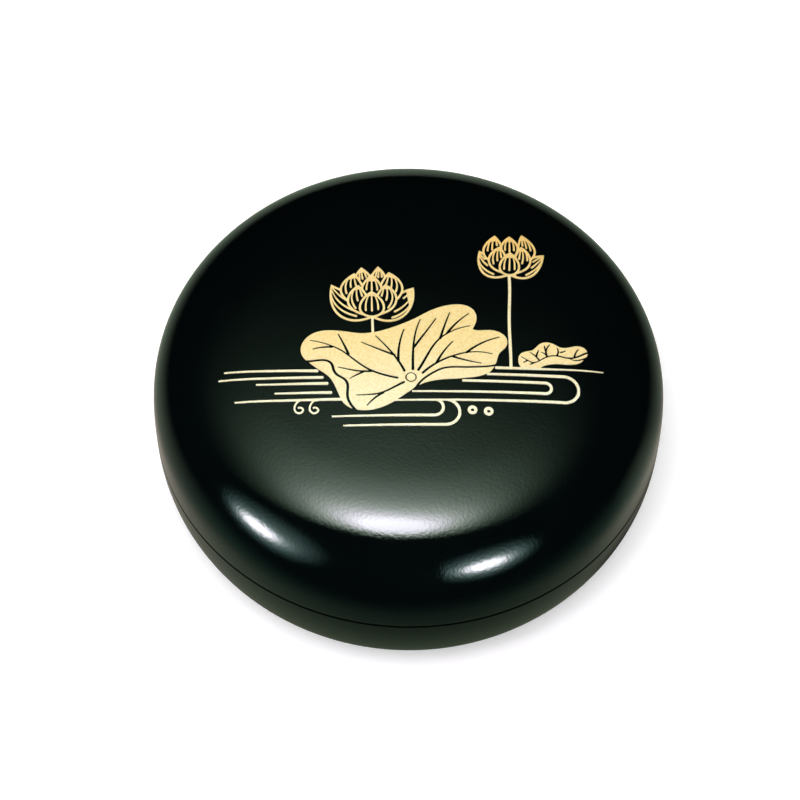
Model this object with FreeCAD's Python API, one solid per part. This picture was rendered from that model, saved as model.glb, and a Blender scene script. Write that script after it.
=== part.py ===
import FreeCAD, Part
import math
import os

# A round lacquer incense box. The lid drops over a thin rim that stands in the base, and a lotus
# pond is laid on the lid in raised gold. Millimetres, +Z up, origin at the middle of the foot.
# A tilt is the angle between straight up and the outward direction of a surface, in degrees.

Vector = FreeCAD.Vector
up = Vector(0, 0, 1)
level_tilt = 90.0
down_tilt = 180.0

# Outside of the lid, from the side up to the crown
outer_radius = 38.0
lid_side_arc = 13.4
lid_side_tilt = 16.0
crown_edge_arc = 30.4
crown_edge_tilt = 6.0
seam_drop = 4.9
lip_round = 0.2

# Outside of the base, from the wall down to the foot
wall_arc = 98.0
wall_tilt = 94.2
belly_arc = 22.3
belly_tilt = 148.0
foot_round = 1.4
foot_ring_width = 2.4
foot_recess = 0.8

# Mouth of the base, its floor, and the rim that is glued inside the mouth. The rim stops a gap
# below the widest level, where the hollow of the lid starts to close in.
shoulder_width = 3.4
floor_thickness = 3.0
rim_thickness = 1.2
rim_seat = 6.0
rim_top_gap = 0.5
rim_round = 0.4
rim_clearance = 0.08

# Gold on the lid. The pattern is drawn on a grid of squares, and its furthest point from the
# middle, the given share of squares out, stays a margin inside the outline of the lid.
gold_thickness = 0.12
gold_reach_tilt = 60.0
pattern_margin = 9.7
pattern_reach_share = 28.3
prism_overrun = 2.0

# Brush widths of the gold, and of the black lines left bare in it, in pattern squares
petal_stroke_share = 0.32
petal_tongue_share = 0.3
petal_tongue_root_share = 0.16
left_stem_width_share = 0.36
right_stem_width_share = 0.44
water_width_share = 0.42
water_start_width_share = 0.34
water_tail_width_share = 0.22
water_tip_width_share = 0.12
curl_width_share = 0.28
curl_tip_width_share = 0.26
vein_width_share = 0.42
vein_tip_width_share = 0.2
small_vein_width_share = 0.32
fold_width_share = 0.42
right_fold_width_share = 0.36

# Large leaf: four runs of its edge, which meet at its corners, in pattern squares
large_leaf_edge_shares = [
    [(-15.0, -4.2), (-15.7, -3.4), (-16.0, -2.2), (-15.6, -0.8), (-14.6, 0.3), (-13.2, 0.9), (-11.5, 1.0),
     (-9.3, 0.7), (-7.2, 0.35), (-5.0, 0.55), (-3.0, 1.15), (-1.0, 2.0), (1.0, 3.05), (3.0, 4.3),
     (5.0, 5.15), (7.0, 5.5), (8.5, 5.25), (9.5, 4.4), (9.85, 3.1), (9.6, 2.0), (9.2, 1.1)],
    [(9.2, 1.1), (10.0, 0.9), (11.0, 0.97), (12.2, 0.97), (13.3, 0.6), (14.1, -0.2), (14.3, -1.1),
     (13.9, -2.1), (13.1, -3.0), (12.75, -4.1), (12.4, -5.1), (11.8, -6.1), (10.8, -6.75), (9.3, -7.2),
     (7.0, -7.5), (5.0, -7.65), (3.2, -7.95), (2.2, -8.25), (1.4, -8.6)],
    [(1.4, -8.6), (0.9, -8.8), (0.3, -9.4), (-0.6, -10.08), (-2.0, -11.15), (-3.6, -12.12), (-5.2, -12.7),
     (-6.8, -12.85), (-8.2, -12.6)],
    [(-8.2, -12.6), (-9.2, -12.1), (-9.9, -11.3), (-10.3, -10.4), (-10.75, -9.2), (-11.2, -8.1),
     (-11.8, -7.1), (-12.7, -6.25), (-13.8, -5.35), (-15.0, -4.2)],
]
large_leaf_fold_shares = [
    [(-15.5, -4.2), (-14.2, -4.25), (-12.8, -4.15), (-12.0, -4.35), (-11.4, -5.0), (-11.15, -6.0),
     (-10.5, -6.9), (-9.6, -7.55), (-9.15, -8.4), (-9.15, -9.6), (-9.1, -10.8), (-8.7, -11.8), (-7.9, -12.9)],
    [(13.0, -4.85), (11.8, -5.25), (10.0, -5.45), (7.5, -5.55), (5.4, -5.65), (4.2, -6.05), (3.0, -6.8),
     (1.9, -7.7), (0.9, -9.0)],
]
large_leaf_ring_share = (0.11, -7.36)
large_leaf_ring_radius_share = 0.84
large_leaf_ring_width_share = 0.2
large_leaf_vein_shares = [
    [(-1.9, -7.45), (-4.3, -6.75), (-6.0, -5.95), (-8.3, -4.1), (-10.0, -2.6), (-11.8, -1.55),
     (-14.6, -0.65)],
    [(-11.4, -1.9), (-12.6, -1.9), (-14.2, -2.2)],
    [(-9.0, -3.2), (-9.6, -1.7), (-10.5, 0.3)],
    [(-5.5, -6.25), (-7.0, -6.25), (-8.7, -5.95), (-10.5, -5.45)],
    [(-6.7, -6.3), (-7.7, -6.8), (-8.8, -7.45)],
    [(-0.95, -8.2), (-3.0, -9.4), (-4.2, -9.95), (-5.8, -10.25), (-7.8, -10.3)],
    [(-4.0, -10.0), (-5.3, -10.95), (-6.3, -12.1)],
    [(-0.85, -6.25), (-1.9, -4.2), (-3.3, -2.2), (-5.0, -0.15)],
    [(-2.3, -3.5), (-4.5, -2.5), (-7.1, -1.2)],
    [(-1.7, -4.6), (-1.65, -2.6), (-0.85, 1.0)],
    [(0.4, -6.0), (0.45, -3.0), (0.8, 0.2), (1.55, 2.75)],
    [(0.55, -2.2), (2.2, 0.3), (3.85, 2.9)],
    [(1.2, -6.1), (2.8, -3.0), (4.4, -0.6), (5.8, 0.5), (8.8, 1.7)],
    [(4.45, -0.6), (5.0, 1.3), (5.9, 4.0)],
    [(5.5, 0.35), (6.8, 2.1), (8.7, 3.9)],
    [(1.85, -6.6), (4.0, -4.8), (6.2, -3.65), (8.3, -3.0), (12.0, -3.15)],
    [(3.85, -4.9), (4.8, -3.1), (6.3, -1.1)],
    [(6.3, -3.75), (8.2, -4.35), (10.4, -4.8)],
    [(8.3, -3.0), (10.2, -1.5), (13.1, -0.2)],
]

# Small leaf: its edge, which a straight foot closes, its folds and its veins, in pattern squares
small_leaf_edge_shares = [
    [(16.4, -5.5), (15.85, -4.2), (16.2, -3.0), (17.0, -2.55), (17.8, -2.35), (18.5, -1.75), (19.2, -1.05),
     (20.3, -0.8), (21.3, -1.15), (22.2, -1.6), (23.3, -1.5), (24.3, -1.2), (25.3, -1.25), (25.95, -1.8),
     (26.1, -2.4), (25.6, -3.2), (25.1, -3.85), (24.2, -4.3), (22.8, -4.45), (21.3, -4.45), (20.2, -4.65),
     (19.4, -5.0), (18.9, -5.5)],
]
small_leaf_fold_shares = [
    [(26.6, -1.9), (25.4, -2.5), (24.2, -3.15), (23.1, -3.35), (21.8, -3.08), (20.5, -3.15), (19.2, -3.85),
     (18.1, -4.4), (16.9, -3.85), (16.3, -3.45)],
    [(26.2, -2.9), (25.2, -3.4), (24.3, -3.65), (23.5, -3.45)],
]
small_leaf_vein_shares = [
    [(18.1, -4.45), (17.6, -4.75)],
    [(17.2, -4.05), (16.6, -4.45)],
    [(18.95, -3.95), (18.3, -3.2), (17.6, -2.6)],
    [(18.5, -3.3), (18.65, -2.75), (18.85, -2.25)],
    [(20.1, -3.2), (19.75, -2.8), (19.3, -2.55)],
    [(20.1, -3.2), (19.95, -2.3), (20.5, -1.2)],
    [(19.95, -2.3), (19.8, -1.9), (19.75, -1.4)],
    [(21.5, -3.05), (21.75, -2.4), (21.6, -1.7)],
    [(22.1, -2.4), (22.45, -2.3), (22.8, -2.1)],
    [(24.1, -3.2), (24.3, -2.4), (24.7, -1.7)],
]

# Shares of the height of a petal: where the black inside it starts, and how far into the gold of
# the tip its tongues run
petal_foot_share = 0.04
tongue_root_share = 0.04

# A petal: its foot, two pull points up its left side, its tip, and two pull points down its right
# side, in pattern squares, back petals first. Then the share of its height where the gold of the
# tip ends, and for each gold tongue its share across the petal and the share where it stops.
left_flower_petal_shares = [
    [(-5.45, 3.15), (-9.6, 1.0), (-12.7, 4.6), (-11.5, 9.35), (-11.1, 8.7), (-8.7, 8.6), 0.88,
     [(0.27, 0.22), (0.5, 0.24), (0.74, 0.34)]],
    [(-5.45, 3.15), (-2.2, 7.6), (-0.6, 8.1), (0.65, 8.55), (1.35, 4.0), (-1.9, 0.8), 0.7,
     [(0.3, 0.6), (0.6, 0.36), (0.82, 0.3)]],
    [(-6.3, 7.6), (-9.2, 9.0), (-8.1, 11.2), (-7.05, 12.35), (-6.1, 11.5), (-4.4, 10.2), 0.78,
     [(0.33, 0.5), (0.5, 0.48), (0.73, 0.52)]],
    [(-5.2, 7.6), (-6.8, 10.0), (-5.2, 11.6), (-4.6, 12.5), (-3.6, 11.5), (-2.2, 9.6), 0.78,
     [(0.33, 0.52), (0.5, 0.5), (0.73, 0.52)]],
    [(-6.4, 4.6), (-11.2, 6.4), (-11.2, 9.3), (-8.1, 11.3), (-7.0, 10.2), (-5.6, 6.6), 0.85,
     [(0.24, 0.46), (0.47, 0.6), (0.7, 0.62)]],
    [(-4.7, 4.6), (-5.2, 7.4), (-4.2, 10.2), (-3.0, 11.4), (0.6, 9.2), (-0.6, 5.8), 0.85,
     [(0.25, 0.6), (0.48, 0.54), (0.72, 0.5)]],
    [(-5.5, 6.4), (-8.2, 7.8), (-7.0, 9.6), (-5.55, 11.1), (-4.1, 9.6), (-2.8, 7.8), 0.76,
     [(0.25, 0.42), (0.5, 0.38), (0.75, 0.4)]],
    [(-6.1, 3.4), (-10.4, 4.4), (-9.6, 7.8), (-7.5, 9.1), (-6.6, 8.3), (-5.2, 6.2), 0.84,
     [(0.24, 0.28), (0.5, 0.46), (0.76, 0.55)]],
    [(-5.1, 3.4), (-5.6, 6.2), (-4.6, 8.2), (-3.6, 9.1), (-1.2, 8.2), (-0.6, 4.2), 0.84,
     [(0.24, 0.55), (0.5, 0.46), (0.76, 0.28)]],
    [(-5.5, 3.1), (-8.3, 3.5), (-7.9, 6.4), (-5.55, 7.95), (-3.2, 6.4), (-2.7, 3.5), 0.87,
     [(0.26, 0.4), (0.5, 0.38), (0.74, 0.42)]],
]
left_stem_shares = [(-5.45, 3.05), (-5.45, 1.8), (-5.4, 0.3)]

right_flower_petal_shares = [
    [(14.85, 11.1), (10.8, 9.1), (9.5, 12.6), (10.45, 15.6), (11.0, 15.2), (12.6, 14.8), 0.87,
     [(0.25, 0.26), (0.52, 0.46), (0.7, 0.6)]],
    [(14.85, 11.1), (17.2, 14.4), (18.4, 15.1), (20.1, 15.2), (19.9, 12.4), (18.1, 9.2), 0.87,
     [(0.3, 0.6), (0.54, 0.5), (0.77, 0.32)]],
    [(13.2, 12.8), (9.6, 14.4), (10.9, 17.1), (12.8, 18.55), (14.0, 17.6), (14.6, 15.0), 0.79,
     [(0.26, 0.48), (0.48, 0.5), (0.74, 0.62)]],
    [(16.6, 13.0), (15.9, 15.4), (16.0, 17.4), (16.8, 18.9), (18.9, 17.5), (20.3, 14.8), 0.8,
     [(0.3, 0.6), (0.5, 0.54), (0.72, 0.48)]],
    [(15.0, 13.6), (12.8, 15.8), (13.5, 17.3), (15.0, 18.5), (16.5, 17.3), (17.1, 15.8), 0.79,
     [(0.26, 0.4), (0.5, 0.36), (0.74, 0.4)]],
    [(14.3, 11.3), (10.4, 12.3), (11.5, 15.4), (13.5, 16.5), (14.6, 15.4), (14.9, 13.6), 0.84,
     [(0.27, 0.38), (0.5, 0.46), (0.72, 0.56)]],
    [(15.4, 11.3), (15.2, 13.6), (15.6, 15.4), (16.7, 16.6), (18.6, 15.4), (19.2, 12.2), 0.84,
     [(0.3, 0.52), (0.52, 0.4), (0.76, 0.52)]],
    [(14.85, 11.0), (12.6, 11.2), (12.9, 14.0), (15.05, 15.5), (17.0, 14.0), (17.0, 11.2), 0.83,
     [(0.25, 0.42), (0.5, 0.38), (0.75, 0.42)]],
]
right_stem_shares = [(14.8, 11.1), (14.8, 7.0), (14.65, 3.0), (14.7, -1.0), (14.75, -5.35)]

# Flowing water: left lines, then the long line of the right, in pattern squares
water_line_shares = [
    [(-27.1, -5.35), (-23.5, -5.55), (-18.0, -5.78), (-13.6, -6.0)],
    [(-27.9, -6.6), (-24.0, -6.8), (-18.0, -7.0), (-12.85, -7.15)],
    [(-22.4, -7.9), (-19.0, -8.03), (-15.0, -8.12), (-12.15, -8.2)],
    [(-19.7, -9.58), (-17.0, -9.65), (-14.0, -9.7), (-11.6, -9.77)],
    [(-25.5, -10.55), (-21.0, -10.75), (-16.0, -10.87), (-9.6, -10.95)],
]
right_line_shares = [(28.3, -5.15), (25.0, -5.3), (20.0, -5.45), (12.6, -5.52)]

# Loops of water: where the upper run starts, where it turns, and where the lower run ends
outer_loop_start_share = (11.2, -6.65)
outer_loop_turn_share = (22.4, -6.6)
outer_loop_return_share = (22.4, -11.0)
outer_loop_end_share = (-3.4, -11.25)
inner_loop_start_share = (7.6, -7.85)
inner_loop_turn_share = (19.7, -7.85)
inner_loop_return_share = (19.7, -9.65)
inner_loop_end_share = (0.25, -9.75)
inner_eddy_start_share = (2.6, -11.1)
inner_eddy_turn_share = (3.5, -11.1)
inner_eddy_return_share = (3.4, -13.75)
inner_eddy_end_share = (-11.4, -13.8)
outer_eddy_start_share = (4.2, -11.1)
outer_eddy_turn_share = (5.1, -11.1)
outer_eddy_return_share = (5.0, -15.3)
outer_eddy_end_share = (-9.8, -15.38)

# Curls under the lowest left line, and the two drops, in pattern squares
curl_shares = [(0.96, 0.0), (0.5, -0.1), (0.15, -0.42), (-0.1, -0.92), (-0.17, -1.42), (0.02, -1.9),
               (0.42, -2.16), (0.87, -2.05), (1.08, -1.74), (0.97, -1.4), (0.66, -1.24), (0.42, -1.26)]
curl_place_shares = [(-16.7, -10.9), (-14.5, -11.0)]
drop_place_shares = [(9.0, -12.8), (11.35, -12.97)]
drop_radius_share = 0.71
drop_hole_radius_share = 0.26


# Profile of the outside, as tangent arcs in the plane of radius and height

def arc_point(centre, radius, tilt):
    angle = math.radians(tilt)
    return (centre[0] + radius * math.sin(angle), centre[1] + radius * math.cos(angle))


def arc_centre(point, radius, tilt):
    return arc_point(point, -radius, tilt)


def lifted(point, height):
    return (point[0], point[1] + height)


side_centre = (outer_radius - lid_side_arc, 0.0)
side_top = arc_point(side_centre, lid_side_arc, lid_side_tilt)
crown_edge_centre = arc_centre(side_top, crown_edge_arc, lid_side_tilt)
crown_rim = arc_point(crown_edge_centre, crown_edge_arc, crown_edge_tilt)
crown_arc = crown_rim[0] / math.sin(math.radians(crown_edge_tilt))
crown_centre = arc_centre(crown_rim, crown_arc, crown_edge_tilt)
wall_centre = (outer_radius - wall_arc, 0.0)
wall_end = arc_point(wall_centre, wall_arc, wall_tilt)
belly_centre = arc_centre(wall_end, belly_arc, wall_tilt)
belly_end = arc_point(belly_centre, belly_arc, belly_tilt)
foot_round_centre = arc_centre(belly_end, foot_round, belly_tilt)

# The widest level stands this high over the foot, and the arcs are lifted by it
widest_height = foot_round - foot_round_centre[1]
seam_height = widest_height - seam_drop
seam_tilt = level_tilt + math.degrees(math.asin(seam_drop / wall_arc))
crown = (lifted(crown_centre, widest_height), crown_arc)
crown_edge = (lifted(crown_edge_centre, widest_height), crown_edge_arc)
lid_side = (lifted(side_centre, widest_height), lid_side_arc)
wall = (lifted(wall_centre, widest_height), wall_arc)
belly = (lifted(belly_centre, widest_height), belly_arc)
foot_edge = (lifted(foot_round_centre, widest_height), foot_round)

# Sizes of the pieces that fit in one another
rim_radius = outer_radius - shoulder_width
rim_bore_radius = rim_radius - rim_thickness
socket_radius = rim_radius + rim_clearance
lid_wall = outer_radius - socket_radius
floor_height = foot_recess + floor_thickness
ledge_height = seam_height - rim_seat
rim_top = widest_height - rim_top_gap
foot_radius = foot_edge[0][0]
recess_radius = foot_radius - foot_ring_width
pattern_square = (outer_radius - pattern_margin) / pattern_reach_share

# The wall of the well follows the belly, and is flush with the bore of the rim
well = (belly[0], math.hypot(rim_bore_radius - belly[0][0], ledge_height - belly[0][1]))


def profile_vector(point):
    return Vector(point[0], 0, point[1])


def profile_line(start, end):
    return Part.LineSegment(profile_vector(start), profile_vector(end)).toShape()


def profile_arc(arc, offset, start_tilt, end_tilt):
    centre, radius = arc
    points = [arc_point(centre, radius + offset, tilt)
              for tilt in (start_tilt, (start_tilt + end_tilt) / 2, end_tilt)]
    return Part.Arc(*[profile_vector(point) for point in points]).toShape()


def tilt_at_height(arc, height):
    centre, radius = arc
    return math.degrees(math.acos((height - centre[1]) / radius))


def turned(edges):
    face = Part.Face(Part.Wire(edges))
    return face.revolve(Vector(0, 0, 0), up, 360)


def radius_at_height(arc, height):
    return arc_point(*arc, tilt_at_height(arc, height))[0]


# Shells and rim

def make_lid_shell():
    mouth_tilt = tilt_at_height(wall, seam_height + lip_round)
    mouth_point = arc_point(*wall, mouth_tilt)
    lip = ((mouth_point[0] - lip_round, mouth_point[1]), lip_round)
    hollow_top = (0, arc_point(*crown, 0)[1] - lid_wall)
    return turned([
        profile_arc(crown, 0, 0, crown_edge_tilt),
        profile_arc(crown_edge, 0, crown_edge_tilt, lid_side_tilt),
        profile_arc(lid_side, 0, lid_side_tilt, level_tilt),
        profile_arc(wall, 0, level_tilt, mouth_tilt),
        profile_arc(lip, 0, level_tilt, down_tilt),
        profile_line((lip[0][0], seam_height), (socket_radius, seam_height)),
        profile_line((socket_radius, seam_height), (socket_radius, widest_height)),
        profile_arc(lid_side, -lid_wall, level_tilt, lid_side_tilt),
        profile_arc(crown_edge, -lid_wall, lid_side_tilt, crown_edge_tilt),
        profile_arc(crown, -lid_wall, crown_edge_tilt, 0),
        profile_line(hollow_top, arc_point(*crown, 0)),
    ])


def make_base_shell():
    mouth_tilt = tilt_at_height(wall, seam_height - lip_round)
    mouth_point = arc_point(*wall, mouth_tilt)
    lip = ((mouth_point[0] - lip_round, mouth_point[1]), lip_round)
    ledge_tilt = tilt_at_height(well, ledge_height)
    floor_tilt = tilt_at_height(well, floor_height)
    floor_radius = radius_at_height(well, floor_height)
    return turned([
        profile_arc(lip, 0, 0, level_tilt),
        profile_arc(wall, 0, mouth_tilt, wall_tilt),
        profile_arc(belly, 0, wall_tilt, belly_tilt),
        profile_arc(foot_edge, 0, belly_tilt, down_tilt),
        profile_line((foot_radius, 0), (recess_radius, 0)),
        profile_line((recess_radius, 0), (recess_radius, foot_recess)),
        profile_line((recess_radius, foot_recess), (0, foot_recess)),
        profile_line((0, foot_recess), (0, floor_height)),
        profile_line((0, floor_height), (floor_radius, floor_height)),
        profile_arc(well, 0, floor_tilt, ledge_tilt),
        profile_line((rim_bore_radius, ledge_height), (rim_radius, ledge_height)),
        profile_line((rim_radius, ledge_height), (rim_radius, seam_height)),
        profile_line((rim_radius, seam_height), (lip[0][0], seam_height)),
    ])


def make_locating_rim():
    round_height = rim_top - rim_round
    outer_round = ((rim_radius - rim_round, round_height), rim_round)
    inner_round = ((rim_bore_radius + rim_round, round_height), rim_round)
    return turned([
        profile_line((rim_bore_radius, ledge_height), (rim_radius, ledge_height)),
        profile_line((rim_radius, ledge_height), (rim_radius, round_height)),
        profile_arc(outer_round, 0, level_tilt, 0),
        profile_line((rim_radius - rim_round, rim_top), (rim_bore_radius + rim_round, rim_top)),
        profile_arc(inner_round, 0, 0, -level_tilt),
        profile_line((rim_bore_radius, round_height), (rim_bore_radius, ledge_height)),
    ])


# Gold: flat drawings on the pattern grid, raised on the crown as a thin layer

def grid_length(share):
    return share * pattern_square


def on_grid(share):
    return Vector(grid_length(share[0]), grid_length(share[1]), 0)


def spline(points):
    curve = Part.BSplineCurve()
    curve.interpolate(points)
    return curve


def flat_line(start, end):
    return Part.LineSegment(start, end).toShape()


def flat_face(edges):
    return Part.Face(Part.Wire(edges))


def joined(faces):
    whole = faces[0].fuse(faces[1:])
    return Part.Shell(whole.Faces).removeSplitter()


def outline_face(runs):
    edges = [spline([on_grid(share) for share in run]).toShape() for run in runs]
    first_share, last_share = runs[0][0], runs[-1][-1]
    if first_share != last_share:
        edges.append(flat_line(on_grid(last_share), on_grid(first_share)))
    return flat_face(edges)


# A brush stroke along points, from its start width to its end width, with round ends
def ribbon(points, start_width_share, end_width_share):
    start_width, end_width = grid_length(start_width_share), grid_length(end_width_share)
    curve = spline(points) if len(points) > 2 else Part.LineSegment(*points)
    first, last = curve.FirstParameter, curve.LastParameter
    count = 2 * len(points)
    left, right = [], []
    for step in range(count + 1):
        share = step / count
        parameter = first + share * (last - first)
        middle = curve.value(parameter)
        tangent = curve.tangent(parameter)[0]
        side = Vector(-tangent.y, tangent.x, 0) * ((start_width * (1 - share) + end_width * share) / 2)
        left.append(middle + side)
        right.append(middle - side)
    start = curve.value(first) - curve.tangent(first)[0] * (start_width / 2)
    end = curve.value(last) + curve.tangent(last)[0] * (end_width / 2)
    return flat_face([
        spline(left).toShape(),
        Part.Arc(left[-1], end, right[-1]).toShape(),
        spline(right).toShape(),
        Part.Arc(right[0], start, left[0]).toShape(),
    ])


def brush(shares, start_width_share, end_width_share):
    return ribbon([on_grid(share) for share in shares], start_width_share, end_width_share)


# Raises a flat drawing over the crown: what its prism shares with a thin skin of the crown
def make_gold_skin():
    top = arc_point(*crown, 0)
    return turned([
        profile_arc(crown, 0, 0, crown_edge_tilt),
        profile_arc(crown_edge, 0, crown_edge_tilt, lid_side_tilt),
        profile_arc(lid_side, 0, lid_side_tilt, gold_reach_tilt),
        profile_line(arc_point(*lid_side, gold_reach_tilt),
                     arc_point(lid_side[0], lid_side[1] + gold_thickness, gold_reach_tilt)),
        profile_arc(lid_side, gold_thickness, gold_reach_tilt, lid_side_tilt),
        profile_arc(crown_edge, gold_thickness, lid_side_tilt, crown_edge_tilt),
        profile_arc(crown, gold_thickness, crown_edge_tilt, 0),
        profile_line((0, top[1] + gold_thickness), top),
    ])


def raised(drawing, skin):
    bottom = arc_point(*lid_side, gold_reach_tilt)[1] - prism_overrun
    top = arc_point(*crown, 0)[1] + prism_overrun
    drawing = drawing.copy()
    drawing.translate(up * bottom)
    solids = []
    for face in drawing.Faces:
        solids += face.extrude(up * (top - bottom)).common(skin).Solids
    return solids


# Petals

def curve_point(controls, share):
    rest = 1 - share
    weights = (rest ** 3, 3 * rest * rest * share, 3 * rest * share * share, share ** 3)
    point = Vector(0, 0, 0)
    for control, weight in zip(controls, weights):
        point += control * weight
    return point


# The point that lies a distance off a side, to the right of its run where the distance is positive
def beside_curve(controls, share, distance):
    step_share = 0.001
    ahead = curve_point(controls, share + step_share) - curve_point(controls, share - step_share)
    ahead.normalize()
    return curve_point(controls, share) + Vector(ahead.y, -ahead.x, 0) * distance


def bezier_edge(controls):
    curve = Part.BezierCurve()
    curve.setPoles(controls)
    return curve.toShape()


class Petal:
    def __init__(self, shares):
        foot, left_low, left_high, tip, right_high, right_low = [on_grid(share) for share in shares[:6]]
        self.left = [foot, left_low, left_high, tip]
        self.right = [foot, right_low, right_high, tip]
        self.stroke = grid_length(petal_stroke_share)
        self.gold_tip_share = shares[6]
        self.tongue_shares = shares[7]

    def point(self, across, along):
        return curve_point(self.left, along) * (1 - across) + curve_point(self.right, along) * across

    def full_face(self):
        return flat_face([bezier_edge(self.left), bezier_edge(self.right)])

    # The black inside: the petal less its stroke, up to the gold of the tip
    def inside_face(self):
        count = 14
        left, right = [], []
        for step in range(count + 1):
            along = petal_foot_share + (self.gold_tip_share - petal_foot_share) * step / count
            across = self.point(1, along) - self.point(0, along)
            start = beside_curve(self.left, along, self.stroke)
            end = beside_curve(self.right, along, -self.stroke)
            if (end - start).dot(across) > self.stroke * across.Length / 3:
                left.append(start)
                right.append(end)
        return flat_face([
            spline(left).toShape(),
            flat_line(left[-1], right[-1]),
            spline(right).toShape(),
            flat_line(right[0], left[0]),
        ])

    def tongues(self):
        start_share = self.gold_tip_share + tongue_root_share
        faces = []
        for across, stop_share in self.tongue_shares:
            middle_share = (start_share + stop_share) / 2
            points = [self.point(across, share) for share in (start_share, middle_share, stop_share)]
            faces.append(ribbon(points, petal_tongue_root_share, petal_tongue_share))
        return faces

    def gold_face(self):
        return self.full_face().cut(self.inside_face().cut(self.tongues()))


def petals_of(flower_shares):
    return [Petal(shares) for shares in flower_shares]


# A flower: each petal hides what lies behind it
def flower_face(petals):
    faces = []
    for index, petal in enumerate(petals):
        in_front = [front.full_face() for front in petals[index + 1:]]
        gold = petal.gold_face()
        faces += (gold.cut(in_front) if in_front else gold).Faces
    return joined(faces)


# A stem starts under the petals and stops at what hides its foot
def stem_face(shares, width, petals, in_front):
    return brush(shares, width, width).cut([petal.full_face() for petal in petals] + [in_front])


# Leaves: the veins and folds are bare lacquer, so they are cut out of the gold

def large_leaf_faces():
    bare = [brush(vein, vein_width_share, vein_tip_width_share) for vein in large_leaf_vein_shares]
    for fold, width in zip(large_leaf_fold_shares, (fold_width_share, right_fold_width_share)):
        bare.append(brush(fold, width, width))
    bare.append(ring_face(large_leaf_ring_share, large_leaf_ring_radius_share,
                          large_leaf_ring_radius_share - large_leaf_ring_width_share))
    return outline_face(large_leaf_edge_shares).cut(bare)


def small_leaf_face():
    bare = [brush(fold, right_fold_width_share, vein_tip_width_share) for fold in small_leaf_fold_shares]
    bare += [brush(vein, small_vein_width_share, vein_tip_width_share) for vein in small_leaf_vein_shares]
    return outline_face(small_leaf_edge_shares).cut(bare)


def disc_face(place_share, radius_share):
    circle = Part.Circle(on_grid(place_share), up, grid_length(radius_share)).toShape()
    return Part.Face(Part.Wire([circle]))


def ring_face(place_share, outside_share, inside_share):
    return disc_face(place_share, outside_share).cut(disc_face(place_share, inside_share))


# Water: a band that runs level, turns back round a half circle or nearly, and returns
def loop_face(start_share, turn_share, return_share, end_share):
    start, turn, back, end = [on_grid(share) for share in (start_share, turn_share, return_share, end_share)]
    centre = (turn + back) / 2
    across = (turn - back) / 2
    radius = across.Length
    out = across / radius
    ahead = Vector(out.y, -out.x, 0)
    half_width = grid_length(water_width_share / 2)
    half = out * half_width
    start_half = out * grid_length(water_start_width_share / 2)
    end_half = out * grid_length(water_tail_width_share / 2)
    return flat_face([
        flat_line(start + start_half, turn + half),
        Part.Arc(turn + half, centre + ahead * (radius + half_width), back - half).toShape(),
        flat_line(back - half, end - end_half),
        flat_line(end - end_half, end + end_half),
        flat_line(end + end_half, back + half),
        Part.Arc(back + half, centre + ahead * (radius - half_width), turn - half).toShape(),
        flat_line(turn - half, start - start_half),
        flat_line(start - start_half, start + start_half),
    ])


def curl_face(place_share):
    place = on_grid(place_share)
    return ribbon([place + on_grid(share) for share in curl_shares], curl_width_share, curl_tip_width_share)


def largest_first(drawing):
    return sorted(drawing.Faces, key=lambda face: -face.Area)


def make_gold():
    skin = make_gold_skin()
    leaf, *folds = largest_first(large_leaf_faces())
    left_fold, right_fold = sorted(folds[:2], key=lambda face: face.CenterOfMass.x)
    drawings = {
        "large_leaf": leaf,
        "large_leaf_left_fold": left_fold,
        "large_leaf_right_fold": right_fold,
        "large_leaf_eye": disc_face(large_leaf_ring_share,
                                    large_leaf_ring_radius_share - large_leaf_ring_width_share),
    }
    right_line = brush(right_line_shares, water_tip_width_share, water_width_share)
    outer_loop = loop_face(outer_loop_start_share, outer_loop_turn_share,
                           outer_loop_return_share, outer_loop_end_share)
    inner_loop = loop_face(inner_loop_start_share, inner_loop_turn_share,
                           inner_loop_return_share, inner_loop_end_share)
    inner_eddy = loop_face(inner_eddy_start_share, inner_eddy_turn_share,
                           inner_eddy_return_share, inner_eddy_end_share)
    outer_eddy = loop_face(outer_eddy_start_share, outer_eddy_turn_share,
                           outer_eddy_return_share, outer_eddy_end_share)
    left_petals = petals_of(left_flower_petal_shares)
    right_petals = petals_of(right_flower_petal_shares)
    whole_leaf = outline_face(large_leaf_edge_shares)
    small_pieces = largest_first(small_leaf_face().cut(right_line))
    drawings["small_leaf"] = small_pieces[0]
    drawings["small_leaf_fold"] = small_pieces[1]
    drawings["left_flower"] = flower_face(left_petals)
    drawings["left_flower_stem"] = stem_face(left_stem_shares, left_stem_width_share, left_petals, whole_leaf)
    drawings["right_flower"] = flower_face(right_petals)
    drawings["right_flower_stem"] = stem_face(right_stem_shares, right_stem_width_share, right_petals, right_line)
    for index, shares in enumerate(water_line_shares, 1):
        drawings[f"water_line_{index}"] = brush(shares, water_tail_width_share, water_width_share).cut(whole_leaf)
    drawings["water_line_right"] = right_line.cut(whole_leaf)
    drawings["outer_water_loop"] = outer_loop.cut(whole_leaf)
    drawings["inner_water_loop"] = inner_loop.cut(whole_leaf)
    drawings["inner_eddy"] = largest_first(inner_eddy.cut(outer_loop))[0]
    drawings["outer_eddy"] = largest_first(outer_eddy.cut(outer_loop))[0]
    lowest_line = drawings["water_line_5"]
    for index, share in enumerate(curl_place_shares, 1):
        drawings[f"water_curl_{index}"] = curl_face(share).cut(lowest_line)
    for index, share in enumerate(drop_place_shares, 1):
        drawings[f"water_drop_{index}"] = ring_face(share, drop_radius_share, drop_hole_radius_share)
    return {name: raised(drawing, skin) for name, drawing in drawings.items()}


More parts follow.
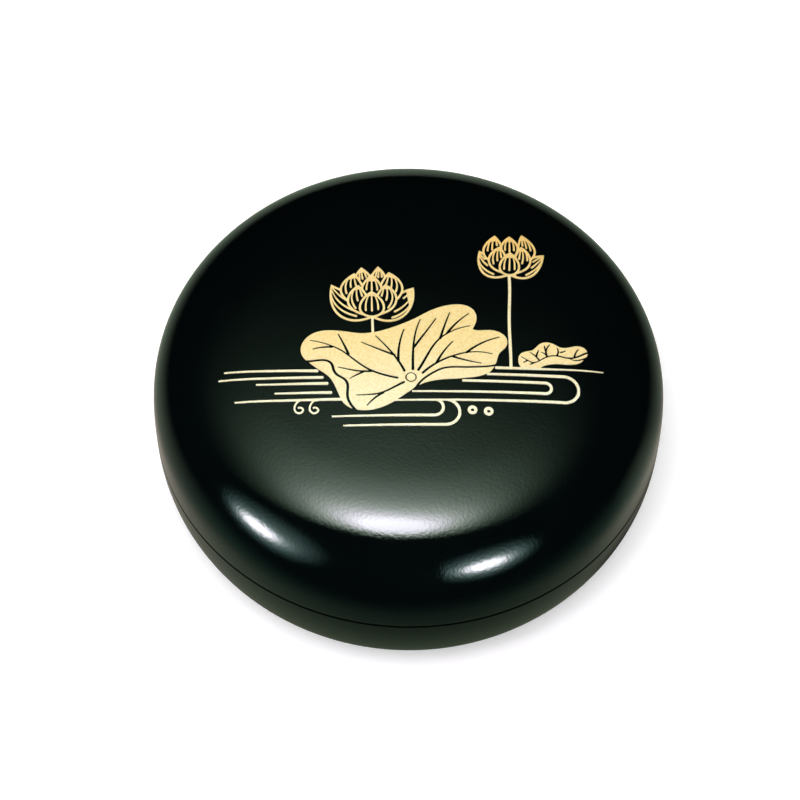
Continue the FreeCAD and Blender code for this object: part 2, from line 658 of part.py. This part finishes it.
os.makedirs("parts", exist_ok=True)
nodes = {
    "base_shell": [make_base_shell()],
    "locating_rim": [make_locating_rim()],
    "lid_shell": [make_lid_shell()],
}
nodes.update(make_gold())
for name, solids in nodes.items():
    shape = solids[0] if len(solids) == 1 else Part.makeCompound(solids)
    shape.exportStep(f"parts/{name}.step")
    print(name, "solids", len(solids), "volume", round(shape.Volume, 3), "valid", shape.isValid())
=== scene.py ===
import math

import bpy
from mathutils import Matrix, Vector


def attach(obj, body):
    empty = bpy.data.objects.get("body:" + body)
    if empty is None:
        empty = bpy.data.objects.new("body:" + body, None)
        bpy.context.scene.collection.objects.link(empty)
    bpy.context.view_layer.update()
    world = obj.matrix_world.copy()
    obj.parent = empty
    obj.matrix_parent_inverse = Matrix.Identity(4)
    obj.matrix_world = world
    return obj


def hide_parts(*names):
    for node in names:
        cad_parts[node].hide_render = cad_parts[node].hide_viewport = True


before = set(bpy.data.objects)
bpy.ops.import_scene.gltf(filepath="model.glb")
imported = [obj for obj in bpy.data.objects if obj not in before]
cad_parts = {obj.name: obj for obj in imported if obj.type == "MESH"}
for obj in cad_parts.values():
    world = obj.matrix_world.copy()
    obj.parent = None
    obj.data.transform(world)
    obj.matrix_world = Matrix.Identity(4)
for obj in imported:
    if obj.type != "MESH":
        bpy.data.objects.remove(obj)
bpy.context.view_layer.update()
print("frame loaded:", len(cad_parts), "nodes")

mm = 0.001


class Sock:
    # an output socket that adds and multiplies like a number
    def __init__(self, nodes, socket):
        self.nodes = nodes
        self.socket = socket

    def __add__(self, other):
        return self.nodes.maths("ADD", self, other)

    def __mul__(self, other):
        return self.nodes.maths("MULTIPLY", self, other)

    def __sub__(self, other):
        return self.nodes.maths("SUBTRACT", self, other)

    def __truediv__(self, other):
        return self.nodes.maths("DIVIDE", self, other)

    def __pow__(self, other):
        return self.nodes.maths("POWER", self, other)

    def __rsub__(self, other):
        return self.nodes.maths("SUBTRACT", other, self)

    def __rtruediv__(self, other):
        return self.nodes.maths("DIVIDE", other, self)

    __radd__ = __add__
    __rmul__ = __mul__

    def size(self):
        return self.nodes.maths("ABSOLUTE", self)

    def clamped(self):
        return self.nodes.add("ShaderNodeClamp", {}, {"Value": self})

    def between(self, low, high):
        # 0 below low, 1 above high, smooth in between
        settings = {"interpolation_type": "SMOOTHSTEP"}
        sockets = {"Value": self, "From Min": low, "From Max": high, "To Min": 0.0, "To Max": 1.0}
        return self.nodes.add("ShaderNodeMapRange", settings, sockets)


class Nodes:
    # one node tree, filled by a single method
    def __init__(self, tree):
        self.tree = tree
        tree.nodes.clear()

    def add(self, kind, settings, sockets, out=0):
        node = self.tree.nodes.new(kind)
        for name, value in settings.items():
            setattr(node, name, value)
        for key, value in sockets.items():
            target = self.find(node.inputs, key)
            if isinstance(value, Sock):
                self.tree.links.new(value.socket, target)
            else:
                target.default_value = value
        return Sock(self, self.find(node.outputs, out)) if node.outputs else node

    def find(self, sockets, key):
        # by number, by identifier, or else by name
        if isinstance(key, int):
            return sockets[key]
        same = [s for s in sockets if s.identifier == key] or [s for s in sockets if s.name == key]
        return same[0]

    def maths(self, operation, *values):
        return self.add("ShaderNodeMath", {"operation": operation}, dict(enumerate(values)))

    def mix(self, share, first, second):
        settings = {"data_type": "RGBA"}
        sockets = {"Factor_Float": share, "A_Color": first, "B_Color": second}
        return self.add("ShaderNodeMix", settings, sockets, out="Result_Color")

    def mixShader(self, share, first, second):
        return self.add("ShaderNodeMixShader", {}, {0: share, 1: first, 2: second})

    def noise(self, place, scale, detail, rough):
        sockets = {"Vector": place, "Scale": scale, "Detail": detail, "Roughness": rough}
        return self.add("ShaderNodeTexNoise", {}, sockets)

    def bump(self, height, depth):
        sockets = {"Strength": 1.0, "Distance": depth, "Height": height}
        return self.add("ShaderNodeBump", {}, sockets, out="Normal")

    def objectPlace(self):
        return self.add("ShaderNodeTexCoord", {}, {}, out="Object")

    def parts(self, place):
        # x, y and z of a place
        node = self.add("ShaderNodeSeparateXYZ", {}, {"Vector": place}).socket.node
        return [Sock(self, output) for output in node.outputs]

    def ray(self, kind):
        return self.add("ShaderNodeLightPath", {}, {}, out=kind)


def newMaterial(name):
    material = bpy.data.materials.new(name)
    material.use_nodes = True
    return material, Nodes(material.node_tree)


def colour(values):
    return (values[0], values[1], values[2], 1.0)


shape = {                      # millimetres and degrees
    "radius": 38.0,
    "crown": 6.0,              # tilt of the surface where the flat crown ends
    "crownEdgeArc": 30.4,
    "crownEdge": 16.0,
    "sideArc": 13.4,
    "wallArc": 98.0,
    "wall": 94.2,
    "bellyArc": 22.3,
    "belly": 148.0,
    "footRound": 1.4,
    "footRing": 2.4,
    "footRecess": 0.8,
    "seamDrop": 4.9,           # from the widest ring down to the seam
    "lidLip": 0.25,            # rounding of the lid's edge at the seam
    "slitUp": 0.14,            # how far the lid's edge and the base's stand back from the seam outside
    "slitDown": 0.25,
    "shoulder": 3.4,
    "floor": 3.0,
    "rimThick": 1.2,
    "rimSeat": 6.0,
    "rimTopGap": 0.5,
    "rimRound": 0.4,
    "rimPlay": 0.08,
    "blend": 3.2,              # length over which one curve flows into the next
    "step": 0.45,              # spacing of the points along the section
    "footStep": 0.12,          # and closer round the foot, round the rim and on the lid's edge
    "rimStep": 0.08,
    "lipParts": 6,
    "ceilingStep": 1.0,        # wider on the flat ceiling inside the lid
    "rings": 288,              # points round a ring
    "creases": 32.0,           # edges sharper than this stay sharp
    "weld": 0.002,             # points nearer than this are one
    "sliver": 0.0005,
}


def onArc(centre, radius, tilt):
    angle = math.radians(tilt)
    return (centre[0] + radius * math.sin(angle), centre[1] + radius * math.cos(angle))


def workOutShape(s):
    # arcs are drawn from the widest ring at height 0 and then lifted onto the foot
    sideCentre = (s["radius"] - s["sideArc"], 0.0)
    sideTop = onArc(sideCentre, s["sideArc"], s["crownEdge"])
    edgeCentre = onArc(sideTop, -s["crownEdgeArc"], s["crownEdge"])
    crownRim = onArc(edgeCentre, s["crownEdgeArc"], s["crown"])
    crownArc = crownRim[0] / math.sin(math.radians(s["crown"]))
    crownCentre = onArc(crownRim, -crownArc, s["crown"])
    wallCentre = (s["radius"] - s["wallArc"], 0.0)
    wallEnd = onArc(wallCentre, s["wallArc"], s["wall"])
    bellyCentre = onArc(wallEnd, -s["bellyArc"], s["wall"])
    bellyEnd = onArc(bellyCentre, s["bellyArc"], s["belly"])
    footCentre = onArc(bellyEnd, -s["footRound"], s["belly"])
    lift = s["footRound"] - footCentre[1]

    def up(point):
        return (point[0], point[1] + lift)

    s["widest"] = lift
    s["seam"] = lift - s["seamDrop"]
    s["crownArc"] = crownArc
    s["apex"] = crownCentre[1] + crownArc + lift
    s["centres"] = {"crown": up(crownCentre), "edge": up(edgeCentre), "side": up(sideCentre),
                    "wall": up(wallCentre), "belly": up(bellyCentre), "foot": up(footCentre)}
    s["rimRadius"] = s["radius"] - s["shoulder"]
    s["rimBore"] = s["rimRadius"] - s["rimThick"]
    s["socket"] = s["rimRadius"] + s["rimPlay"]
    s["lidWall"] = s["radius"] - s["socket"]
    s["ledge"] = s["seam"] - s["rimSeat"]
    s["floorTop"] = s["footRecess"] + s["floor"]
    belly = s["centres"]["belly"]
    s["wellArc"] = math.hypot(s["rimBore"] - belly[0], s["ledge"] - belly[1])


workOutShape(shape)


def tiltAt(centre, radius, height):
    return math.degrees(math.acos((height - centre[1]) / radius))


def arcPoints(centre, radius, start, end, step):
    count = max(3, math.ceil(abs(math.radians(end - start)) * radius / step))
    return [onArc(centre, radius, start + (end - start) * k / count) for k in range(count + 1)]


def flowingLine(start, arcs, finish, step, blend):
    # each arc is its radius and the tilts that it starts and ends with; the tilt is averaged over the
    # blend length, so that one curve flows into the next, and the line still joins start and finish
    tilts = []
    for radius, first, last in arcs:
        count = max(2, round(math.radians(last - first) * radius / step))
        tilts += [first + (last - first) * (k + 0.5) / count for k in range(count)]
    reach = max(1, round(blend / step / 2))
    smooth = []
    for k in range(len(tilts)):
        near = min(reach, k, len(tilts) - 1 - k)
        window = tilts[k - near:k + near + 1]
        smooth.append(sum(window) / len(window))
    line = [(0.0, 0.0)]
    for tilt in smooth:
        angle = math.radians(tilt)
        line.append((line[-1][0] + math.cos(angle), line[-1][1] - math.sin(angle)))
    across = (finish[0] - start[0]) / line[-1][0]
    down = (finish[1] - start[1]) / line[-1][1]
    return [(start[0] + x * across, start[1] + z * down) for x, z in line]


def lidOutline(s):
    # over the top to the seam, and back up inside
    centres = s["centres"]
    mouthTilt = tiltAt(centres["wall"], s["wallArc"], s["seam"] + s["slitUp"] + s["lidLip"])
    mouth = onArc(centres["wall"], s["wallArc"], mouthTilt)
    arcs = [(s["crownArc"], 0.0, s["crown"]), (s["crownEdgeArc"], s["crown"], s["crownEdge"]),
            (s["sideArc"], s["crownEdge"], 90.0), (s["wallArc"], 90.0, mouthTilt)]
    line = flowingLine((0.0, s["apex"]), arcs, mouth, s["step"], s["blend"])
    lip = (mouth[0] - s["lidLip"], mouth[1])
    line += arcPoints(lip, s["lidLip"], 90.0, 180.0, s["lidLip"] / s["lipParts"])[1:]
    line.append((s["socket"], s["seam"]))
    line.append((s["socket"], s["widest"]))
    wall = s["lidWall"]
    line += arcPoints(centres["side"], s["sideArc"] - wall, 90.0, s["crownEdge"], s["step"])[1:]
    line += arcPoints(centres["edge"], s["crownEdgeArc"] - wall, s["crownEdge"], s["crown"], s["step"])[1:]
    line += arcPoints(centres["crown"], s["crownArc"] - wall, s["crown"], 0.0, s["ceilingStep"])[1:]
    return line


def baseOutline(s):
    # from the middle of the floor up the well, over the shoulder, and down outside to the foot
    centres = s["centres"]
    belly, well = centres["belly"], s["wellArc"]
    mouthTilt = tiltAt(centres["wall"], s["wallArc"], s["seam"] - s["slitDown"])
    mouth = onArc(centres["wall"], s["wallArc"], mouthTilt)
    bellyEnd = onArc(belly, s["bellyArc"], s["belly"])
    line = [(0.0, s["floorTop"])]
    line += arcPoints(belly, well, tiltAt(belly, well, s["floorTop"]), tiltAt(belly, well, s["ledge"]),
                      s["step"])
    line += [(s["rimRadius"], s["ledge"]), (s["rimRadius"], s["seam"])]
    arcs = [(s["wallArc"], mouthTilt, s["wall"]), (s["bellyArc"], s["wall"], s["belly"])]
    line += flowingLine(mouth, arcs, bellyEnd, s["step"], s["blend"])
    line += arcPoints(centres["foot"], s["footRound"], s["belly"], 180.0, s["footStep"])[1:]
    foot = centres["foot"][0]
    line += [(foot - s["footRing"], 0.0), (foot - s["footRing"], s["footRecess"]), (0.0, s["footRecess"])]
    return line


def rimOutline(s):
    # once round, back to where it starts
    bend = s["widest"] - s["rimTopGap"] - s["rimRound"]
    outer = (s["rimRadius"] - s["rimRound"], bend)
    inner = (s["rimBore"] + s["rimRound"], bend)
    line = [(s["rimBore"], s["ledge"]), (s["rimRadius"], s["ledge"])]
    line += arcPoints(outer, s["rimRound"], 90.0, 0.0, s["rimStep"])
    line += arcPoints(inner, s["rimRound"], 0.0, -90.0, s["rimStep"])
    return line + line[:1]


def selectNothing():
    if bpy.context.object and bpy.context.object.mode != "OBJECT":
        bpy.ops.object.mode_set(mode="OBJECT")
    bpy.ops.object.select_all(action="DESELECT")


def turnedPiece(name, line, s):
    # draws the half section point by point and spins it round the upright axis
    selectNothing()
    here = line[0]
    bpy.ops.mesh.primitive_plane_add(size=mm, location=(here[0] * mm, 0, here[1] * mm))
    piece = bpy.context.object
    piece.name = name
    piece.data.name = name
    bpy.ops.object.transform_apply(location=True, rotation=False, scale=False)
    bpy.ops.object.mode_set(mode="EDIT")
    bpy.ops.mesh.select_mode(type="VERT")
    bpy.ops.mesh.select_all(action="SELECT")
    bpy.ops.mesh.merge(type="CENTER")
    for point in line[1:]:
        move = ((point[0] - here[0]) * mm, 0, (point[1] - here[1]) * mm)
        bpy.ops.mesh.extrude_vertices_move(TRANSFORM_OT_translate={"value": move})
        here = point
    bpy.ops.mesh.select_all(action="SELECT")
    bpy.ops.mesh.spin(steps=s["rings"], angle=math.tau, center=(0, 0, 0), axis=(0, 0, 1))
    bpy.ops.mesh.select_all(action="SELECT")
    bpy.ops.mesh.remove_doubles(threshold=s["weld"] * mm)
    bpy.ops.mesh.dissolve_degenerate(threshold=s["sliver"] * mm)
    bpy.ops.mesh.select_all(action="SELECT")
    bpy.ops.mesh.normals_make_consistent(inside=False)
    bpy.ops.object.mode_set(mode="OBJECT")
    bpy.ops.object.shade_smooth_by_angle(angle=math.radians(s["creases"]))
    print(name, "turned:", len(piece.data.polygons), "faces")
    return piece


lidShell = turnedPiece("lidShell", lidOutline(shape), shape)
baseShell = turnedPiece("baseShell", baseOutline(shape), shape)
locatingRim = turnedPiece("locatingRim", rimOutline(shape), shape)


lacquerLook = {
    "deep": (0.0005, 0.0011, 0.0013),
    "shallow": (0.0009, 0.0020, 0.0022),
    "cloudScale": 0.03,        # clouds of the two tones, per mm
    "rough": 0.06,             # where the polish is best
    "hazeRough": 0.12,         # where hands have dulled it
    "hazeScale": 0.11,         # per mm
    "hazeFrom": (0.5, 0.8),    # level of the noise where the haze sets in and where it is full
    "peelSize": 0.46,          # mm between the ripples of the polish
    "swellScale": 0.22,        # longer waves under the ripples, per mm
    "peelHeight": 0.012,       # mm
    "index": 1.67,             # shine of the polished coats
}


def lacquer(name, look):
    material, nodes = newMaterial(name)
    place = nodes.objectPlace()
    cloud = nodes.noise(place, look["cloudScale"] / mm, detail=3.0, rough=0.6)
    ripple = nodes.noise(place, 1.0 / (look["peelSize"] * mm), detail=2.0, rough=0.5)
    swell = nodes.noise(place, look["swellScale"] / mm, detail=1.0, rough=0.5)
    haze = nodes.noise(place, look["hazeScale"] / mm, detail=4.0, rough=0.65).between(*look["hazeFrom"])
    shader = nodes.add("ShaderNodeBsdfPrincipled", {}, {
        "Base Color": nodes.mix(cloud, colour(look["deep"]), colour(look["shallow"])),
        "Roughness": haze * (look["hazeRough"] - look["rough"]) + look["rough"],
        "IOR": look["index"],
        "Normal": nodes.bump(ripple + swell, look["peelHeight"] * mm)})
    nodes.add("ShaderNodeOutputMaterial", {}, {"Surface": shader})
    return material


leafGold = {
    "near": (1.0, 0.82, 0.575),      # painted highlight: the gold is paler towards the front of the lid, where the overhead lamp lights it most
    "middle": (1.0, 0.72, 0.365),
    "far": (1.0, 0.57, 0.195),
    "farTo": (0.006, 0.024),         # where the colours meet, in metres behind the middle of the lid
    "nearTo": (-0.012, 0.001),
    "drift": 0.006,                  # how far that wanders with the patches
    "thin": (0.92, 0.86, 0.68),      # share of the colour left where the powder lies thin
    "grainFrom": (0.36, 0.60),       # level of each noise where the powder is thin and where it is full
    "patchFrom": (0.3, 0.7),
    "patchShare": 0.2,
    "patchScale": 0.35,              # per mm
    "metal": 0.22,
    "rough": 0.44,                   # and this much more on the grains
    "grainRough": 0.25,
    "grainSize": 0.36,               # mm
    "grainHeight": 0.018,            # mm
}
lineGold = dict(leafGold, near=(1.0, 0.88, 0.71), middle=(1.0, 0.80, 0.54), far=(1.0, 0.65, 0.32))
petalGold = dict(leafGold, far=(1.0, 0.59, 0.25))
bloomGold = dict(leafGold, far=(1.0, 0.59, 0.18))


def gold(name, look):
    material, nodes = newMaterial(name)
    place = nodes.objectPlace()
    y = nodes.parts(place)[1]
    grain = nodes.noise(place, 1.0 / (look["grainSize"] * mm), detail=3.0, rough=0.6)
    patch = nodes.noise(place, look["patchScale"] / mm, detail=3.0, rough=0.6)
    y = y + (patch - 0.5) * look["drift"]
    # painted highlight: the colour runs from far through middle to near, paler towards the front as if lit
    # more there
    paintedLightTone = nodes.mix(y.between(*look["farTo"]), colour(look["middle"]), colour(look["far"]))
    paintedLightTone = nodes.mix(1 - y.between(*look["nearTo"]), paintedLightTone, colour(look["near"]))
    cover = grain.between(*look["grainFrom"]) * (1 - look["patchShare"])
    cover = (cover + patch.between(*look["patchFrom"]) * look["patchShare"]).clamped()
    thin = nodes.add("ShaderNodeVectorMath", {"operation": "MULTIPLY"}, {0: paintedLightTone, 1: look["thin"]})
    shader = nodes.add("ShaderNodeBsdfPrincipled", {}, {
        "Base Color": nodes.mix(cover, thin, paintedLightTone),
        "Metallic": look["metal"],
        "Roughness": grain * look["grainRough"] + look["rough"],
        "Normal": nodes.bump(grain, look["grainHeight"] * mm)})
    nodes.add("ShaderNodeOutputMaterial", {}, {"Surface": shader})
    return material


blackLacquer = lacquer("blackLacquer", lacquerLook)
innerLacquer = lacquer("innerLacquer", dict(lacquerLook, rough=0.10, hazeRough=0.18))
leafPowder = gold("leafPowder", leafGold)
linePowder = gold("linePowder", lineGold)
petalPowder = gold("petalPowder", petalGold)
bloomPowder = gold("bloomPowder", bloomGold)
print("finishes made")

for piece, node, body, slotName, finish in (
        (lidShell, "lid_shell", "lid", "lacquer", blackLacquer),
        (baseShell, "base_shell", "base", "lacquer", blackLacquer),
        (locatingRim, "locating_rim", "base", "rim_lacquer", innerLacquer)):
    piece.data.materials.append(finish)
    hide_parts(node)
    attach(piece, body)

# the powder of a patch goes by the first of these words in its name: lines are palest, petals warmest
powderOf = {"water": linePowder, "stem": linePowder, "eddy": linePowder, "right_flower": bloomPowder,
            "flower": petalPowder, "small_leaf": petalPowder, "large_leaf": leafPowder}
for nodeName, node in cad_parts.items():
    for word, powder in powderOf.items():
        if word in nodeName:
            node.data.materials.clear()
            node.data.materials.append(powder)
            break
print("pieces dressed")


cameraSet = {
    "height": 56.52,           # degrees above the table
    "turn": 1.55,              # degrees that the box is turned to the camera
    "roll": 1.2,
    "away": 760.0,             # mm
    "aim": (0.0, 0.0, 24.67),
    "picture": 800.0,          # pixels across and down
    "focal": 5098.0,           # pixels
    "centre": (408.6, 391.9),  # pixel where the aim falls
    "sensor": 36.0,
    "clip": (0.01, 50.0),
}


def towards(turn, height):
    # direction from the box; turn runs from the front to the right
    a, e = math.radians(turn), math.radians(height)
    return Vector((math.sin(a) * math.cos(e), -math.cos(a) * math.cos(e), math.sin(e)))


def facing(direction, spin=0.0):
    # axes of something that looks back at the box along direction
    across = Vector((0, 0, 1)).cross(direction).normalized()
    upward = direction.cross(across)
    turn = math.radians(spin)
    right = across * math.cos(turn) + upward * math.sin(turn)
    top = upward * math.cos(turn) - across * math.sin(turn)
    return Matrix((right, top, direction)).transposed().to_4x4()


def addCamera(c):
    data = bpy.data.cameras.new("camera")
    camera = bpy.data.objects.new("camera", data)
    bpy.context.scene.collection.objects.link(camera)
    direction = towards(-c["turn"], c["height"])
    place = Vector(c["aim"]) * mm + direction * c["away"] * mm
    camera.matrix_world = Matrix.Translation(place) @ facing(direction, c["roll"])
    data.sensor_width = c["sensor"]
    data.lens = c["focal"] / c["picture"] * c["sensor"]
    data.shift_x = (c["picture"] / 2 - c["centre"][0]) / c["picture"]
    data.shift_y = (c["centre"][1] - c["picture"] / 2) / c["picture"]
    data.clip_start, data.clip_end = c["clip"]
    bpy.context.scene.camera = camera


addCamera(cameraSet)


# turn, height and spin are degrees; all other sizes and places on a lamp are shares of its distance.
# hot is where its bright core lies, edges are how soft it is at the bottom and the top, and a flag is a
# straight board that cuts the lamp off
lamps = {
    "overhead": {"turn": -49.4, "height": 87.4, "spin": 50.5, "centre": (-0.78, 0.118), "half": (1.52, 0.718),
                 "square": 2.1, "skew": 0.229, "edges": (0.123, 0.411), "hot": (-0.049, -0.483),
                 "hotSize": (0.345, 0.345), "peak": 25.6, "washAt": (0.019, 0.095), "washSize": (0.30, 0.42),
                 "wash": 1.08, "washColour": (0.60, 1.0, 0.64)},
    "left": {"turn": -52.4, "height": 5.1, "spin": 0.0, "centre": (0.0, 0.0), "half": (0.31, 0.31),
             "square": 2.0, "skew": 0.0, "edges": (0.266, 0.266), "hot": (-0.08, -0.064),
             "hotSize": (0.088, 0.065), "peak": 98.0, "washAt": (0.0, 0.0), "washSize": (3.0, 3.0),
             "wash": 0.65, "washColour": (0.45, 1.0, 0.88), "flagRight": (0.414, 0.430)},
    "right": {"turn": 28.5, "height": 2.9, "spin": 0.0, "centre": (0.0, 0.0), "half": (0.29, 0.29),
              "square": 2.0, "skew": 0.0, "edges": (0.222, 0.222), "hot": (-0.017, -0.032),
              "hotSize": (0.074, 0.056), "peak": 150.0, "washAt": (0.0, 0.0), "washSize": (0.73, 0.73),
              "wash": 0.63, "washColour": (0.45, 1.0, 0.88), "flagLeft": (-0.310, -0.294)},
}
studio = {
    "brightest": 17.0,
    "distance": 0.8,           # metres from the box
    "aim": (0.0, 0.0, 30.0),   # mm
    "softens": (-1.0, 0.2),    # from the bottom edge up to here a lamp's edge grows as soft as at the top
    "whiteColour": (0.99, 0.99, 1.02),
    "turnsWhite": 2.3,         # brightness half way from a lamp's wash colour to white
    "hotColour": (0.975, 0.98, 1.06),
    "turnsBlue": (4.0, 11.0),  # from here on its core is faintly blue
}


def addLamp(name, lamp, s):
    # a bright core that fades into an even wash, inside a rounded soft edge
    halfWide, halfHigh = lamp["half"]
    centreX, centreY = lamp["centre"]
    lowEdge, highEdge = lamp["edges"]
    wide = 2 * halfWide * (1 + 2 * highEdge)
    high = 2 * halfHigh * (1 + 2 * highEdge) + lamp["skew"] * halfWide
    data = bpy.data.lights.new(name, "AREA")
    data.shape = "RECTANGLE"
    data.size = wide * s["distance"]
    data.size_y = high * s["distance"]
    data.energy = math.pi * data.size * data.size_y
    data.use_nodes = True
    nodes = Nodes(data.node_tree)
    spot = nodes.parts(nodes.add("ShaderNodeNewGeometry", {}, {}, out="Parametric"))
    x = (spot[0] - 0.5) * wide
    y = (spot[1] - 0.5) * high
    lean = (y + x * lamp["skew"]) / halfHigh
    power = lamp["square"]
    reach = ((x / halfWide).size() ** power + lean.size() ** power) ** (1 / power)
    soft = (lean.between(*s["softens"]) * (highEdge - lowEdge) + lowEdge) * 2
    lit = 1 - reach.between(1 - soft, soft + 1)
    x = x + centreX
    y = y + centreY
    if "flagRight" in lamp:
        lit = lit * (1 - x.between(*lamp["flagRight"]))
    if "flagLeft" in lamp:
        lit = lit * x.between(*lamp["flagLeft"])
    hotX = (x - lamp["hot"][0]) / lamp["hotSize"][0]
    hotY = (y - lamp["hot"][1]) / lamp["hotSize"][1]
    core = lamp["peak"] / ((hotX ** 2.0 + hotY ** 2.0 + 1) ** 2.0)
    washX = (x - lamp["washAt"][0]) / lamp["washSize"][0]
    washY = (y - lamp["washAt"][1]) / lamp["washSize"][1]
    wash = nodes.maths("EXPONENT", (washX ** 2.0 + washY ** 2.0) * -1.0) * lamp["wash"]
    total = nodes.maths("MINIMUM", core + wash, s["brightest"]) * lit
    tint = nodes.mix(total / (total + s["turnsWhite"]), colour(lamp["washColour"]), colour(s["whiteColour"]))
    tint = nodes.mix(total.between(*s["turnsBlue"]), tint, colour(s["hotColour"]))
    glow = nodes.add("ShaderNodeEmission", {}, {"Color": tint, "Strength": total})
    nodes.add("ShaderNodeOutputLight", {}, {"Surface": glow})
    light = bpy.data.objects.new(name, data)
    bpy.context.scene.collection.objects.link(light)
    direction = towards(lamp["turn"], lamp["height"])
    axes = facing(direction, lamp["spin"])
    offset = axes @ Vector((centreX, centreY, 0))
    place = Vector(s["aim"]) * mm + (direction + offset) * s["distance"]
    light.matrix_world = Matrix.Translation(place) @ axes
    light.visible_camera = False


for lampName, lamp in lamps.items():
    addLamp(lampName, lamp, studio)

# painted reflection: to glossy rays the paper round the box is a dim glow shaped like lit paper, and far away
# they see nothing of it; each pair of numbers is where a fade starts and where it is complete, in metres
tableLook = {
    "half": 3.0,
    "colour": (0.86, 0.77, 0.80),
    "glow": 0.526,
    "glowLeft": (-0.146, -0.0046),
    "glowRight": (-0.0344, 0.154),
    "glowFront": (-0.0697, 0.027),
    "glowBack": (-0.035, 0.10),
    "backDrop": 0.40,               # how much dimmer it is behind the box
    "glowEnd": (0.12, 0.44),        # where it ends far behind, sooner at the sides
    "glowNarrows": 2.0,
    "glowFoot": (0.028, 0.0455),    # it starts at the foot
    "rightFrom": (0.020, 0.035),    # and on the right a little further out, and brighter
    "rightFront": (-0.030, -0.012),
    "rightBack": (-0.004, 0.014),
    "rightFoot": (0.0355, 0.0485),
    "rightGlow": 1.75,
    "footGlow": 0.072,              # a little more right round the foot
    "footReach": (0.036, 0.0575),
    "tintSide": (-0.055, 0.005),    # its tint from the front to the sides and back
    "tintFar": (0.040, 0.070),      # and from the foot outwards
    "nearFront": (0.65, 1.0, 0.60),
    "nearSide": (1.08, 1.0, 0.84),
    "farFront": (0.36, 1.0, 0.70),
    "farSide": (0.76, 1.0, 0.73),
    "sheet": (0.080, 0.105),        # past this the paper stops no light
    "white": 0.45,                  # lifts the paper to white in the picture
}


def paintedPaperReflection(nodes, t, place, away):
    # painted reflection: brightness and tint of the glow that polished lacquer mirrors in place of the lit
    # paper
    x, y = nodes.parts(place)[:2]
    glow = x.between(*t["glowLeft"]) * (1 - x.between(*t["glowRight"])) * y.between(*t["glowFront"])
    glow = glow * (1 - y.between(*t["glowBack"]) * t["backDrop"]) * t["glow"]
    glow = glow * (1 - (x.size() * t["glowNarrows"] + y).between(*t["glowEnd"]))
    right = x.between(*t["rightFrom"]) * y.between(*t["rightFront"]) * (1 - y.between(*t["rightBack"]))
    start = away.between(*t["glowFoot"])
    start = start + (away.between(*t["rightFoot"]) * t["rightGlow"] - start) * right
    glow = glow * start + (1 - away.between(*t["footReach"])) * (1 - right) * t["footGlow"]
    side = y.between(*t["tintSide"])
    near = nodes.mix(side, colour(t["nearFront"]), colour(t["nearSide"]))
    far = nodes.mix(side, colour(t["farFront"]), colour(t["farSide"]))
    return glow, nodes.mix(away.between(*t["tintFar"]), near, far)


def addTable(t):
    selectNothing()
    bpy.ops.mesh.primitive_plane_add(size=2 * t["half"])
    table = bpy.context.object
    table.name = "tableTop"
    material, nodes = newMaterial("tablePaper")
    place = nodes.objectPlace()
    away = nodes.add("ShaderNodeVectorMath", {"operation": "LENGTH"}, {0: place}, out="Value")
    glow, tint = paintedPaperReflection(nodes, t, place, away)
    paper = nodes.add("ShaderNodeBsdfDiffuse", {}, {"Color": colour(t["colour"])})
    white = nodes.add("ShaderNodeEmission", {}, {"Color": (1, 1, 1, 1), "Strength": t["white"]})
    clear = nodes.add("ShaderNodeBsdfTransparent", {}, {})
    # painted reflection: an emission that only glossy rays see
    paintedGlow = nodes.add("ShaderNodeEmission", {}, {"Color": tint, "Strength": glow})
    seen = nodes.add("ShaderNodeAddShader", {}, {0: paper, 1: white})
    mirrored = nodes.add("ShaderNodeAddShader", {}, {0: paintedGlow, 1: clear})
    surface = nodes.mixShader(nodes.ray("Is Camera Ray"), paper, seen)
    surface = nodes.mixShader(nodes.ray("Is Shadow Ray") * away.between(*t["sheet"]), surface, clear)
    surface = nodes.mixShader(nodes.ray("Is Glossy Ray"), surface, mirrored)
    nodes.add("ShaderNodeOutputMaterial", {}, {"Surface": surface})
    table.data.materials.append(material)


addTable(tableLook)

roomLook = {
    "colour": (0.85, 1.0, 0.9),
    "strength": 0.003,         # a dark room round the lamps, so that the lacquer stays black
    "white": 1.0,              # what the camera sees behind the table
}


def addRoom(r):
    world = bpy.data.worlds.new("studioRoom")
    bpy.context.scene.world = world
    world.use_nodes = True
    nodes = Nodes(world.node_tree)
    room = nodes.add("ShaderNodeBackground", {}, {"Color": colour(r["colour"]), "Strength": r["strength"]})
    seen = nodes.add("ShaderNodeBackground", {}, {"Color": (1, 1, 1, 1), "Strength": r["white"]})
    mixed = nodes.mixShader(nodes.ray("Is Camera Ray"), room, seen)
    nodes.add("ShaderNodeOutputWorld", {}, {"Surface": mixed})


addRoom(roomLook)
bpy.context.scene.view_settings.view_transform = "Standard"
print("studio set")
